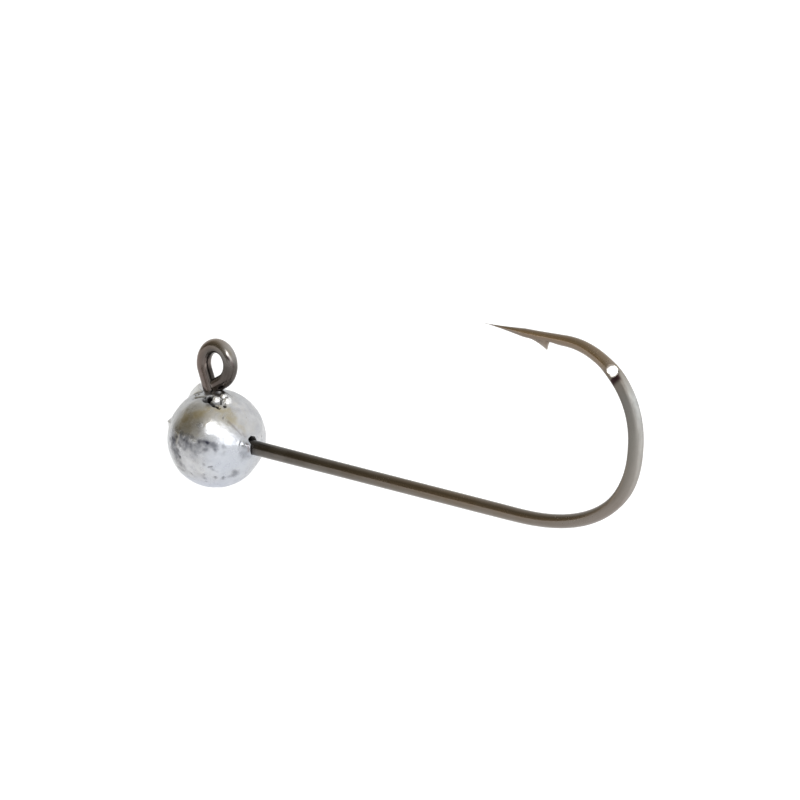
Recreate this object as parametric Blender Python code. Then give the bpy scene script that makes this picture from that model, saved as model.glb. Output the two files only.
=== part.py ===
"""Ball jig head for soft-bait fishing.

Two real pieces:
  lead_head  a cast lead ball, with its clipped sprue stub, a parting ridge, a
             flash burr, a lip of lead round the wire, three beads beside the
             eye's stem, and the bent tunnel that the hook's wire fills;
  jig_hook   one steel wire: eye ring, stem, elbow inside the ball, straight
             shank, forged bend, barb and needle point.

Frame: origin at the centre of the eye's hole, +X back along the shank towards
the bend, +Z up the way the eye and the point stand, and the hook lies in the
XZ plane.
"""
import math

import bmesh
import bpy
from mathutils import Matrix, Vector

MM = 0.001

# ------------------------------------------------------------ driving sizes
EYE_RISE = 6.22 * MM        # eye centre above the shank's axis
EYE_AHEAD = 0.38 * MM       # eye centre ahead of the ball's centre

HEAD_D = 8.24 * MM          # cast ball, a little over 3 g of lead
HEAD_DROP = 0.01 * MM       # ball centre below the shank's axis
TUNNEL_GAP = 0.06 * MM      # clearance of the lead round the wire

WIRE_EYE = 1.22 * MM        # wire diameter at the eye and in the ball
WIRE_SHANK = 1.20 * MM      # along the drawn shank
WIRE_BEND = 1.15 * MM       # round the bend
WIRE_SETTLE = 12.0 * MM     # length behind the ball over which it settles
EYE_R = 1.54 * MM           # eye ring, centre of wire
STEM_LEAN = math.radians(27.0)   # stem leans forward, so the ring is central
ELBOW_R = 1.80 * MM         # bend from stem to shank, inside the ball
TAIL_LEAVES = math.radians(-58.0)  # where the ring's end leaves the circle
TAIL_LENGTH = 1.00 * MM     # straight run of the ring's cut end

SHANK_END = 33.62 * MM      # start of the bend, behind the ball's centre
BEND_BACK = 46.52 * MM      # rearmost point of the wire's centre
BEND_MID = 8.00 * MM        # height of that point above the shank
BEND_POWER = 2.41           # squareness of the lower quarter of the bend
BEND_TOP_POWER = 2.05       # and of the upper quarter
POINT_START = 38.32 * MM    # where the bend runs out into the point
GAP = 15.26 * MM            # shank axis to point axis
TIP_X = 29.22 * MM          # tip of the point, behind the ball's centre
DROP = 0.18 * MM            # the point rolls in by this much
DROP_FROM = 40.50 * MM      # between these two places behind the ball
DROP_TO = 33.30 * MM

FORGE_ON = (math.radians(38.0), math.radians(66.0))    # by heading
FORGE_OFF = (math.radians(135.0), math.radians(155.0))
FORGE_WIDE = 0.09           # light flats widen the wire in the hook's plane
FORGE_THIN = 0.05           # and thin it across
FORGE_SQUARE = 0.5          # added squareness of the section

NEEDLE = 4.50 * MM          # sharpened length
NEEDLE_D = 0.72 * MM        # wire at the sharpening's start
NEEDLE_POWER = 1.38
TAPER = 14.5 * MM           # length over which the wire thins to the needle
TIP_D = 0.03 * MM

BARB_TIP = 36.31 * MM       # behind the ball's centre
BARB_REACH = 1.13 * MM      # from the point's axis to the barb's tip
BARB_LENGTH = 1.85 * MM
BARB_ROOT_W = 0.46 * MM
BARB_EDGE_W = 0.12 * MM

FLAT_AT = math.radians(143.5)        # small pressed flat on the bend's outside, by heading
FLAT_DIR = (0.446, -0.785, 0.432)    # the way it faces
FLAT_DEEP = 0.18 * MM
FLAT_R = 0.46 * MM

STUB_DIR = (-0.76, 0.0, 0.65)        # sprue stub, up and forward of the ball
STUB_TOP = 4.42 * MM                 # from the ball's centre to the clipped face
STUB_SHIFT = 0.93 * MM               # its face lies this far back along the clip
STUB_ALONG = 2.20 * MM               # face in the hook's plane
STUB_ACROSS = 0.84 * MM
STUB_ROOT_ALONG = 2.90 * MM          # and its root, inside the ball
STUB_ROOT_ACROSS = 2.80 * MM
STUB_ROOT_DEEP = 1.00 * MM
RIDGE = 0.05 * MM                    # parting ridge, proud of the ball
RIDGE_W = 0.14 * MM
BURR_DIR = (-0.731, -0.626, 0.270)   # flash burr
BURR_TOP = 4.44 * MM
BURR_R = 0.40 * MM
LIP_SIDE = math.radians(-118.0)      # lip of lead round the wire, low on the near side
LIP_R = (1.15 * MM, 0.74 * MM)
LIP_RUN = (3.70 * MM, 4.42 * MM)
BEADS = (((0.97, -1.43, 3.70), 0.38), ((1.93, -1.02, 3.55), 0.40), ((1.56, -0.62, 3.80), 0.30))

SIDES = 16                  # facets round the wire
BALL_SEGMENTS = 56
BALL_RINGS = 32


def ball_centre():
    return Vector((EYE_AHEAD, 0.0, -EYE_RISE - HEAD_DROP))


def smooth(a, b, t):
    """0 at a, 1 at b, with a smooth step between."""
    t = min(max((t - a) / (b - a), 0.0), 1.0)
    return t * t * (3.0 - 2.0 * t)


# ------------------------------------------------------------ the wire's path
def arc_points(cx, cz, r, a0, a1, n):
    return [(cx + r * math.cos(a0 + (a1 - a0) * i / n), cz + r * math.sin(a0 + (a1 - a0) * i / n)) for i in range(n + 1)]


def line_points(p, q, n):
    return [(p[0] + (q[0] - p[0]) * i / n, p[1] + (q[1] - p[1]) * i / n) for i in range(n + 1)]


def quarter(cx, cz, a, b, power, start, stop, n):
    """Part of a superellipse's quarter; start and stop run from 0 at its flat end to 1 at its steep end."""
    out = []
    for i in range(n + 1):
        t = (start + (stop - start) * i / n) * math.pi / 2
        out.append((cx + a * math.sin(t) ** (2 / power), cz + b * math.cos(t) ** (2 / power)))
    return out


def wire_path():
    """Points (x, z) along the wire from the ring's cut end to the tip, in shank coordinates: ball's centre at x = 0, shank axis at z = 0."""
    eye = (-EYE_AHEAD, EYE_RISE)
    leave = (eye[0] + EYE_R * math.cos(TAIL_LEAVES), eye[1] + EYE_R * math.sin(TAIL_LEAVES))
    along = (math.sin(TAIL_LEAVES), -math.cos(TAIL_LEAVES))
    end = (leave[0] + TAIL_LENGTH * along[0], leave[1] + TAIL_LENGTH * along[1])
    tail = line_points(end, leave, 4)
    ring = arc_points(eye[0], eye[1], EYE_R, TAIL_LEAVES, math.pi + STEM_LEAN, 30)
    top = ring[-1]
    foot = (top[0] + top[1] * math.tan(STEM_LEAN), 0.0)
    turn = math.pi / 2 - STEM_LEAN
    tangent = ELBOW_R * math.tan(turn / 2)
    stem_low = (foot[0] - tangent * math.sin(STEM_LEAN), tangent * math.cos(STEM_LEAN))
    stem = line_points(top, stem_low, 7)
    elbow = arc_points(foot[0] + tangent, ELBOW_R, ELBOW_R, math.pi + STEM_LEAN, 1.5 * math.pi, 7)
    shank = line_points((foot[0] + tangent, 0.0), (SHANK_END, 0.0), 16)
    lower = quarter(SHANK_END, BEND_MID, BEND_BACK - SHANK_END, -BEND_MID, BEND_POWER, 0.0, 1.0, 30)
    upper = quarter(POINT_START, BEND_MID, BEND_BACK - POINT_START, GAP - BEND_MID, BEND_TOP_POWER, 1.0, 0.0, 34)
    run = POINT_START - TIP_X
    point = [(POINT_START - run * (i / 26) ** 0.85, GAP) for i in range(1, 27)]
    path = []
    for part in (tail, ring, stem, elbow, shank, lower, upper, point):
        for p in part:
            if p[1] > BEND_MID and p[0] > HEAD_D:
                p = (p[0], p[1] - DROP * smooth(DROP_FROM, DROP_TO, p[0]))
            if not path or math.dist(path[-1], p) > 0.02 * MM:
                path.append(p)
    return path


def stations(path):
    """Heading and arc length at each point of the path."""
    length = [0.0]
    for p, q in zip(path, path[1:]):
        length.append(length[-1] + math.dist(p, q))
    out = []
    for i, p in enumerate(path):
        a, b = path[max(i - 1, 0)], path[min(i + 1, len(path) - 1)]
        out.append((p, math.atan2(b[1] - a[1], b[0] - a[0]), length[i], length[-1]))
    return out


def wire_section(p, heading, s, total, in_bend):
    """Depth in the hook's plane, width across it, and squareness of the wire."""
    d = WIRE_EYE
    if p[0] > HEAD_D / 2 and s > 0.2 * total:
        d += (WIRE_SHANK - WIRE_EYE) * smooth(HEAD_D / 2, HEAD_D / 2 + WIRE_SETTLE, p[0])
        d += (WIRE_BEND - WIRE_SHANK) * smooth(SHANK_END - 3 * MM, SHANK_END + 4 * MM, p[0])
    a = heading if heading >= -0.5 else heading + 2 * math.pi
    if s > 0.4 * total and a > 1.2:
        d = WIRE_BEND
    left = total - s
    if left < NEEDLE:
        d = max(NEEDLE_D * (left / NEEDLE) ** NEEDLE_POWER, TIP_D)
    elif left < TAPER:
        d = NEEDLE_D + (WIRE_BEND - NEEDLE_D) * (left - NEEDLE) / (TAPER - NEEDLE)
    w = 0.0
    if in_bend:
        w = smooth(*FORGE_ON, a) * (1.0 - smooth(*FORGE_OFF, a))
    return d * (1 + FORGE_WIDE * w), d * (1 - FORGE_THIN * w), 2.0 + FORGE_SQUARE * w


def loft(name, sections, collection):
    """A closed tube through rings of points, with flat ends."""
    bm = bmesh.new()
    rings = [[bm.verts.new(c) for c in ring] for ring in sections]
    n = len(rings[0])
    for a, b in zip(rings, rings[1:]):
        for i in range(n):
            bm.faces.new((a[i], b[i], b[(i + 1) % n], a[(i + 1) % n]))
    bm.faces.new(rings[0])
    bm.faces.new(list(reversed(rings[-1])))
    bmesh.ops.recalc_face_normals(bm, faces=bm.faces)
    return to_object(bm, name, collection)


def to_object(bm, name, collection):
    mesh = bpy.data.meshes.new(name)
    bm.to_mesh(mesh)
    bm.free()
    ob = bpy.data.objects.new(name, mesh)
    collection.objects.link(ob)
    return ob


def ring_of_points(p, heading, depth, width, square):
    """One section of the wire: a superellipse square to its path, in the row's frame."""
    n = (-math.sin(heading), math.cos(heading))
    out = []
    for i in range(SIDES):
        a = 2 * math.pi * (i + 0.5) / SIDES
        c, s = math.cos(a), math.sin(a)
        u = math.copysign(abs(c) ** (2 / square), c) * depth / 2
        v = math.copysign(abs(s) ** (2 / square), s) * width / 2
        out.append(Vector((p[0] + n[0] * u + EYE_AHEAD, v, p[1] + n[1] * u - EYE_RISE)))
    return out


def make_hook(collection, cutters):
    path = wire_path()
    rows = stations(path)
    sections = []
    for i, (p, heading, s, total) in enumerate(rows):
        in_bend = p[0] > SHANK_END and s > 0.3 * total
        depth, width, square = wire_section(p, heading, s, total, in_bend)
        sections.append(ring_of_points(p, heading, depth, width, square))
    hook = loft("jig_hook", sections, collection)

    # The barb is a sliver raised from the inside of the point.
    axis = GAP - DROP * smooth(DROP_FROM, DROP_TO, BARB_TIP)
    bm = bmesh.new()
    for x, half, z in (
        (BARB_TIP - BARB_LENGTH, BARB_ROOT_W / 2, axis - 0.18 * MM),
        (BARB_TIP + 0.30 * MM, BARB_ROOT_W / 2, axis - 0.20 * MM),
        (BARB_TIP - BARB_LENGTH, BARB_ROOT_W / 3, axis - 0.34 * MM),
        (BARB_TIP + 0.26 * MM, BARB_ROOT_W / 2.4, axis - 0.40 * MM),
        (BARB_TIP - 0.03 * MM, BARB_EDGE_W / 2, axis - BARB_REACH),
        (BARB_TIP + 0.03 * MM, BARB_EDGE_W / 2, axis - BARB_REACH),
    ):
        for y in (-half, half):
            bm.verts.new((x + EYE_AHEAD, y, z - EYE_RISE))
    bmesh.ops.convex_hull(bm, input=bm.verts)
    bmesh.ops.recalc_face_normals(bm, faces=bm.faces)
    boolean(hook, to_object(bm, "barb_stock", cutters), "UNION")

    # The flat is the bottom of a shallow spot cut square to the way it faces.
    rows_on = [r for r in rows if r[0][0] > POINT_START and r[0][1] > BEND_MID]
    spot = min(rows_on, key=lambda r: abs((r[1] if r[1] >= 0 else r[1] + 2 * math.pi) - FLAT_AT))
    face = Vector(FLAT_DIR).normalized()
    floor = Vector((spot[0][0] + EYE_AHEAD, 0.0, spot[0][1] - EYE_RISE)) + face * (WIRE_BEND / 2 - FLAT_DEEP)
    bm = bmesh.new()
    bmesh.ops.create_cone(bm, cap_ends=True, segments=20, radius1=FLAT_R, radius2=FLAT_R * 1.5, depth=1.0 * MM)
    bm.transform(Matrix.Translation(floor + face * 0.5 * MM) @ face.to_track_quat("Z", "Y").to_matrix().to_4x4())
    boolean(hook, to_object(bm, "flat_cutter", cutters), "DIFFERENCE")
    return hook


# ------------------------------------------------------------ the cast head
def boolean(ob, other, operation):
    mod = ob.modifiers.new(operation.lower() + "_" + other.name, "BOOLEAN")
    mod.operation = operation
    mod.solver = "EXACT"
    mod.object = other
    other.hide_render = True
    other.display_type = "WIRE"
    return mod


def cone_towards(name, collection, direction, base, top, r_base, r_top, segments=24):
    """A frustum along a direction from the ball's centre."""
    bm = bmesh.new()
    bmesh.ops.create_cone(bm, cap_ends=True, cap_tris=False, segments=segments, radius1=r_base, radius2=r_top, depth=top - base)
    d = Vector(direction).normalized()
    bm.transform(Matrix.Translation(ball_centre() + d * (top + base) / 2) @ d.to_track_quat("Z", "Y").to_matrix().to_4x4())
    return to_object(bm, name, collection)


def sprue_stub(collection):
    """A clipped plate of lead: an oval face with sloping walls down into the ball."""
    n = Vector(STUB_DIR).normalized()
    t = Vector((n.z, 0.0, -n.x))
    sections = []
    for height, along, across in ((STUB_TOP - STUB_ROOT_DEEP, STUB_ROOT_ALONG, STUB_ROOT_ACROSS), (STUB_TOP, STUB_ALONG, STUB_ACROSS)):
        ring = []
        for i in range(24):
            a = 2 * math.pi * i / 24
            ring.append(ball_centre() + n * height + t * (STUB_SHIFT + along / 2 * math.cos(a)) + Vector((0, across / 2 * math.sin(a), 0)))
        sections.append(ring)
    return loft("sprue_stub_stock", sections, collection)


def make_head(collection, cutters):
    bm = bmesh.new()
    bmesh.ops.create_uvsphere(bm, u_segments=BALL_SEGMENTS, v_segments=BALL_RINGS, radius=HEAD_D / 2)
    bm.transform(Matrix.Translation(ball_centre()) @ Matrix.Rotation(math.radians(90), 4, "X"))
    head = to_object(bm, "lead_head", collection)

    boolean(head, sprue_stub(cutters), "UNION")

    burr = cone_towards("burr_stock", cutters, BURR_DIR, 3.6 * MM, BURR_TOP, BURR_R * 1.6, BURR_R * 0.15, 10)
    boolean(head, burr, "UNION")

    for i, (at, r) in enumerate(BEADS):
        bm = bmesh.new()
        bmesh.ops.create_icosphere(bm, subdivisions=2, radius=r * MM)
        bm.transform(Matrix.Translation(ball_centre() + Vector(at) * MM))
        boolean(head, to_object(bm, f"bead_stock_{i + 1}", cutters), "UNION")

    # The lip stands on the near, lower side of the wire, so its axis is a little off the wire's.
    lip = bmesh.new()
    bmesh.ops.create_cone(lip, cap_ends=True, segments=28, radius1=LIP_R[0], radius2=LIP_R[1], depth=LIP_RUN[1] - LIP_RUN[0])
    middle = Vector(((LIP_RUN[0] + LIP_RUN[1]) / 2 + EYE_AHEAD, 0.14 * MM * math.cos(LIP_SIDE), 0.14 * MM * math.sin(LIP_SIDE) - EYE_RISE))
    lip.transform(Matrix.Translation(middle) @ Matrix.Rotation(math.radians(90), 4, "Y"))
    boolean(head, to_object(lip, "lip_stock", cutters), "UNION")

    bm = bmesh.new()
    bmesh.ops.create_cone(bm, cap_ends=True, segments=BALL_SEGMENTS * 2, radius1=HEAD_D / 2 + RIDGE, radius2=HEAD_D / 2 + RIDGE, depth=RIDGE_W)
    bm.transform(Matrix.Translation(ball_centre()) @ Matrix.Rotation(math.radians(90), 4, "X"))
    boolean(head, to_object(bm, "ridge_stock", cutters), "UNION")

    # The tunnel follows the wire from above the ball, round the elbow, and out at the back.
    sections = []
    reach = HEAD_D / 2 + 1.2 * MM
    for p, heading, s, total in stations(wire_path()):
        stem = p[1] < EYE_RISE - 1.2 * MM and p[0] < reach and 8.0 * MM < s + 2.0 * MM
        if not stem or math.hypot(p[0], p[1]) > reach or s > 0.4 * total or s < 7.5 * MM:
            continue
        d = WIRE_EYE + 2 * TUNNEL_GAP
        sections.append(ring_of_points(p, heading, d, d, 2.0))
    d = WIRE_EYE + 2 * TUNNEL_GAP
    sections.append(ring_of_points((reach, 0.0), 0.0, d, d, 2.0))
    tunnel = loft("tunnel_cutter", sections, cutters)
    boolean(head, tunnel, "DIFFERENCE")

    # The ring's cut end dips into the top of the ball and has a pocket of its own.
    rows = [r for r in stations(wire_path()) if r[2] < 2.2 * MM]
    (x, z), heading = rows[0][0], rows[0][1]
    start = (x - 2 * TUNNEL_GAP * math.cos(heading), z - 2 * TUNNEL_GAP * math.sin(heading))
    d = WIRE_EYE + 2 * TUNNEL_GAP
    pocket = loft("pocket_cutter", [ring_of_points(p, h, d, d, 2.0) for p, h in [(start, heading)] + [(r[0], r[1]) for r in rows]], cutters)
    boolean(head, pocket, "DIFFERENCE")
    return head


# ------------------------------------------------------------ materials
def material(name, colour, metallic, roughness):
    m = bpy.data.materials.new(name)
    m.use_nodes = True
    shader = m.node_tree.nodes["Principled BSDF"]
    shader.inputs["Base Color"].default_value = (*colour, 1.0)
    shader.inputs["Metallic"].default_value = metallic
    shader.inputs["Roughness"].default_value = roughness
    return m


def finish(ob, mat, angle):
    ob.data.materials.append(mat)
    ob.data.shade_smooth()
    ob.data.set_sharp_from_angle(angle=math.radians(angle))


def main():
    for ob in list(bpy.data.objects):
        bpy.data.objects.remove(ob, do_unlink=True)
    parts = bpy.data.collections.new("ball_jig_head")
    cutters = bpy.data.collections.new("ball_jig_head_cutters")
    bpy.context.scene.collection.children.link(parts)
    bpy.context.scene.collection.children.link(cutters)

    finish(make_head(parts, cutters), material("cast_lead", (0.62, 0.63, 0.64), 1.0, 0.34), 40)
    finish(make_hook(parts, cutters), material("black_nickel_steel", (0.13, 0.115, 0.10), 1.0, 0.22), 35)


main()
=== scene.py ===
import math

import bmesh
import bpy
import numpy as np
from mathutils import Matrix, Vector


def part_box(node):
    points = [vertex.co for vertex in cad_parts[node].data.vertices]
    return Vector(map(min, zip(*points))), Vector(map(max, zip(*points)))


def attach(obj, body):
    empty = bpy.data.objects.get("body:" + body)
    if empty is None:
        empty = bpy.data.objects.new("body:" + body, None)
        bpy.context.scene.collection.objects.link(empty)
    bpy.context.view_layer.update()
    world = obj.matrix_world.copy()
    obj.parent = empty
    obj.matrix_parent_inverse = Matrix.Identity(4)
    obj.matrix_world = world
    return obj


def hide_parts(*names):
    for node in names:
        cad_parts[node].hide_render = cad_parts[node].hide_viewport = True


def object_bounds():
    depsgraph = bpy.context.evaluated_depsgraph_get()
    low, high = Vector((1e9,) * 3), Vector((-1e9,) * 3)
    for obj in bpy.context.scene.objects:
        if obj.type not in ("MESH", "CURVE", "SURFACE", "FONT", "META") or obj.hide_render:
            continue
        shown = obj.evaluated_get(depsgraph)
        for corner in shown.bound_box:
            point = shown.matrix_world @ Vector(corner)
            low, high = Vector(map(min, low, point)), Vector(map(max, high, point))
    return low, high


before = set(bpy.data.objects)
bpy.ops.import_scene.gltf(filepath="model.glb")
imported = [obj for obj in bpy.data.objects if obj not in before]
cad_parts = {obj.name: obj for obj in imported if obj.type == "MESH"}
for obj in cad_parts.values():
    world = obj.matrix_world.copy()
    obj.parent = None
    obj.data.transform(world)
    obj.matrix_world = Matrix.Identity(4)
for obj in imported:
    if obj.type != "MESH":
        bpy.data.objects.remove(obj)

CAD_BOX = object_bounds()
MM = 0.001

# ---------------------------------------------------------------- where the CAD says things are
head_lo, head_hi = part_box("lead_head")
hook_lo, hook_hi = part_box("jig_hook")
BALL_R = 4.13                                       # mm
BALL = Vector((0.38, 0.0, -6.23))                   # mm
EYE_AHEAD = 0.38                                    # ball centre behind the eye, mm

# the wire's design, as the CAD model states it (mm)
EYE_RISE = 6.22
WIRE_EYE, WIRE_HEAD, WIRE_SHANK, WIRE_SETTLE, WIRE_BEND = 1.22, 1.24, 1.20, 12.0, 1.15
EYE_R, STEM_LEAN, ELBOW_R = 1.54, math.radians(27.0), 1.80
TAIL_LEAVES, TAIL_LENGTH, TAIL_SKEW = math.radians(-58.0), 1.00, 0.0
SHANK_END, BEND_BACK, BEND_MID, BEND_POWER, BEND_TOP_POWER = 33.62, 46.52, 8.00, 2.41, 2.05
POINT_START, GAP, TIP_X = 38.32, 15.26, 29.22
DROP, DROP_FROM, DROP_TO = 0.18, 40.50, 33.30
FORGE_ON = (math.radians(38.0), math.radians(66.0))
FORGE_OFF = (math.radians(135.0), math.radians(155.0))
FORGE_WIDE, FORGE_THIN, FORGE_SQUARE = 0.09, 0.05, 0.5
NEEDLE, NEEDLE_D, NEEDLE_POWER, TAPER, TIP_D = 4.50, 0.72, 1.38, 14.5, 0.03
BARB_TIP, BARB_DEEP, BARB_LENGTH = 36.31, 0.62, 1.85
FACET_AT, FACET_R, FACET_DEEP = math.radians(143.5), 0.46, 0.19


def smooth(a, b, t):
    t = np.clip((t - a) / (b - a), 0.0, 1.0)
    return t * t * (3.0 - 2.0 * t)


GRADIENTS = np.random.RandomState(7).normal(size=(4096, 3))
GRADIENTS /= np.linalg.norm(GRADIENTS, axis=1)[:, None]


def lattice_noise(p):
    """Gradient noise, about -1 to 1, at rows of p."""
    cell = np.floor(p).astype(np.int64)
    f = p - cell
    w = f * f * f * (f * (f * 6 - 15) + 10)
    out = np.zeros(len(p))
    for i in (0, 1):
        for j in (0, 1):
            for k in (0, 1):
                c = cell + (i, j, k)
                h = ((c[:, 0] * 73856093) ^ (c[:, 1] * 19349663) ^ (c[:, 2] * 83492791)) % 4096
                d = ((f - (i, j, k)) * GRADIENTS[h]).sum(1)
                out += d * (w[:, 0] if i else 1 - w[:, 0]) * (w[:, 1] if j else 1 - w[:, 1]) * (w[:, 2] if k else 1 - w[:, 2])
    return out * 1.5


def fractal(points, scale, octaves=3, seed=0.0):
    """Fractal noise, about -1 to 1, at points in mm."""
    v = np.asarray(points, float) * scale + np.array((seed, -seed, 2 * seed))
    out, a = np.zeros(len(v)), 1.0
    for _ in range(octaves):
        out += a * lattice_noise(v)
        v = v * 2.1
        a *= 0.5
    return out


# ---------------------------------------------------------------- camera, set first
VIEW_AZ, VIEW_EL, VIEW_ROLL = math.radians(42.67), math.radians(11.89), math.radians(3.265)
DISTANCE, LENS = 900.0, 486.0                       # mm
back = Vector((math.sin(VIEW_AZ) * math.cos(VIEW_EL), -math.cos(VIEW_AZ) * math.cos(VIEW_EL), math.sin(VIEW_EL)))
right0 = Vector((math.cos(VIEW_AZ), math.sin(VIEW_AZ), 0.0))
up0 = back.cross(right0)
right = right0 * math.cos(VIEW_ROLL) + up0 * math.sin(VIEW_ROLL)
up = up0 * math.cos(VIEW_ROLL) - right0 * math.sin(VIEW_ROLL)
aim = Vector((0.5, 0.0, -6.3)) + right * 15.21 + up * 3.257
cam_data = bpy.data.cameras.new("camera")
cam_data.sensor_width = 36.0
cam_data.lens = LENS
cam_data.clip_start = 0.01
cam_data.clip_end = 50.0
cam = bpy.data.objects.new("camera", cam_data)
cam.matrix_world = Matrix.Translation((aim + back * DISTANCE) * MM) @ Matrix((right, up, back)).transposed().to_4x4()
bpy.context.scene.collection.objects.link(cam)
bpy.context.scene.camera = cam


def from_view(x, y, z):
    """A direction given right, up and towards the camera, as a fixed direction in the row frame."""
    return (right * x + up * y + back * z).normalized()


def facing(x, y):
    """The outward direction on a ball at x to the right and y up of its middle, in radii."""
    return from_view(x, y, math.sqrt(1.0 - x * x - y * y))


# ---------------------------------------------------------------- the wire's path, in shank coordinates
def arc_points(cx, cz, r, a0, a1, n):
    a = np.linspace(a0, a1, n + 1)
    return np.c_[cx + r * np.cos(a), cz + r * np.sin(a)]


def line_points(p, q, n):
    t = np.linspace(0, 1, n + 1)[:, None]
    return np.array(p) * (1 - t) + np.array(q) * t


def quarter(cx, cz, a, b, power, start, stop, n):
    t = np.linspace(start, stop, n + 1) * math.pi / 2
    return np.c_[cx + a * np.sin(t) ** (2 / power), cz + b * np.abs(np.cos(t)) ** (2 / power)]


def wire_path():
    eye = (-EYE_AHEAD, EYE_RISE)
    leave = (eye[0] + EYE_R * math.cos(TAIL_LEAVES), eye[1] + EYE_R * math.sin(TAIL_LEAVES))
    along = (math.sin(TAIL_LEAVES), -math.cos(TAIL_LEAVES))
    end = (leave[0] + TAIL_LENGTH * along[0], leave[1] + TAIL_LENGTH * along[1])
    tail = line_points(end, leave, 14)
    ring = arc_points(eye[0], eye[1], EYE_R, TAIL_LEAVES, math.pi + STEM_LEAN, 110)
    top = ring[-1]
    foot = (top[0] + top[1] * math.tan(STEM_LEAN), 0.0)
    turn = math.pi / 2 - STEM_LEAN
    tangent = ELBOW_R * math.tan(turn / 2)
    stem_low = (foot[0] - tangent * math.sin(STEM_LEAN), tangent * math.cos(STEM_LEAN))
    stem = line_points(top, stem_low, 24)
    elbow = arc_points(foot[0] + tangent, ELBOW_R, ELBOW_R, math.pi + STEM_LEAN, 1.5 * math.pi, 14)
    shank = line_points((foot[0] + tangent, 0.0), (SHANK_END, 0.0), 70)
    lower = quarter(SHANK_END, BEND_MID, BEND_BACK - SHANK_END, -BEND_MID, BEND_POWER, 0.0, 1.0, 160)
    upper = quarter(POINT_START, BEND_MID, BEND_BACK - POINT_START, GAP - BEND_MID, BEND_TOP_POWER, 1.0, 0.0, 260)
    run = POINT_START - TIP_X
    # the point, closer stations where the barb's sharp back edge stands
    xs = [POINT_START - run * (i / 90) for i in range(1, 91)]
    xs += [BARB_TIP + 0.36 - 0.02 * i for i in range(0, 34)]
    xs = sorted(set(round(x, 4) for x in xs), reverse=True)
    point = np.array([(x, GAP) for x in xs])
    path = [tail[0]]
    for part in (tail, ring, stem, elbow, shank, lower, upper, point):
        for p in part:
            if np.hypot(*(p - path[-1])) > 0.012:
                path.append(p)
    path = np.array(path)
    sag = smooth(0.0, 1.0, (DROP_FROM - path[:, 0]) / (DROP_FROM - DROP_TO))
    path[:, 1] -= np.where(path[:, 1] > BEND_MID, DROP * sag * (path[:, 0] > 5), 0.0)
    return path


def fair(path, passes):
    """Evens out the tiny kinks where lines meet curves, keeping the ends."""
    p = path.copy()
    for _ in range(passes):
        p[1:-1] = 0.5 * p[1:-1] + 0.25 * (p[:-2] + p[2:])
    return p


def mesh_object(name, verts, faces):
    mesh = bpy.data.meshes.new(name)
    mesh.from_pydata([tuple(v) for v in verts], [], faces)
    mesh.update()
    ob = bpy.data.objects.new(name, mesh)
    bpy.context.scene.collection.objects.link(ob)
    return ob


def float_layer(mesh, name, values):
    layer = mesh.attributes.new(name, "FLOAT", "POINT")
    layer.data.foreach_set("value", np.asarray(values, np.float32))


# ---------------------------------------------------------------- the hook, one wire
SIDES = 64
# painted shade streaks on the ring's side turned to the camera: (right, up of the eye's middle in mm, half length, half
# width, degrees up from the right, strength)
PAINTED_SHADE_STREAKS = ((0.93, 0.48, 0.36, 0.105, -52, 1.0), (1.27, 0.02, 0.34, 0.13, -66, 0.8))


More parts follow.
